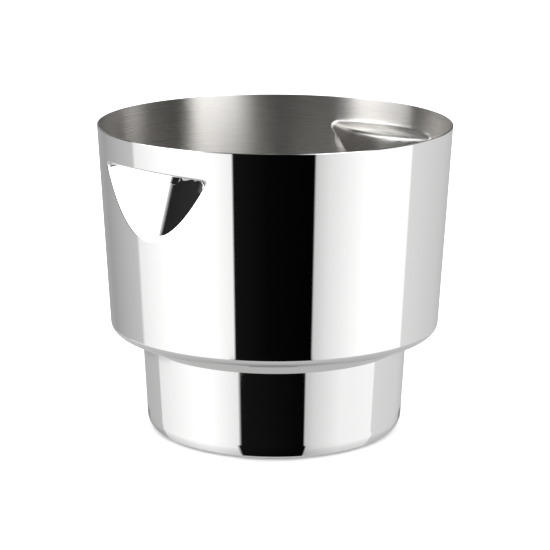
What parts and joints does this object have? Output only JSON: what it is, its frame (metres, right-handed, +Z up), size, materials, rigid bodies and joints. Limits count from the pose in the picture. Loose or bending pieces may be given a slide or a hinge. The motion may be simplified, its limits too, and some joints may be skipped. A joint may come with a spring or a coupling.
{
  "type": "champagne bucket",
  "caption": "Stepped, tapered champagne bucket in polished steel, with a wide upper drum, a narrower lower drum and inset finger grips.",
  "frame": {"origin": "middle of the base, on the surface that the bucket stands on", "axes": "+Z up along the drums' common axis; the finger grips are on -X (left) and +X (right)"},
  "size_m": [0.2199, 0.22, 0.194],
  "materials": {
    "polished_steel": "stainless steel, mirror polished outside and satin brushed round the inside",
    "grip_steel": "stainless steel, mirror polished in the finger space and satin inside the bucket",
    "weld_metal": "ground and polished weld bead"
  },
  "bodies": {
    "root": {"upper_drum": "polished_steel", "lower_drum": "polished_steel", "shoulder_seam": "weld_metal", "grip_panel_left": "grip_steel", "grip_roof_left": "grip_steel", "grip_seam_left": "weld_metal", "grip_panel_right": "grip_steel", "grip_roof_right": "grip_steel", "grip_seam_right": "weld_metal"}
  },
  "joints": []
}
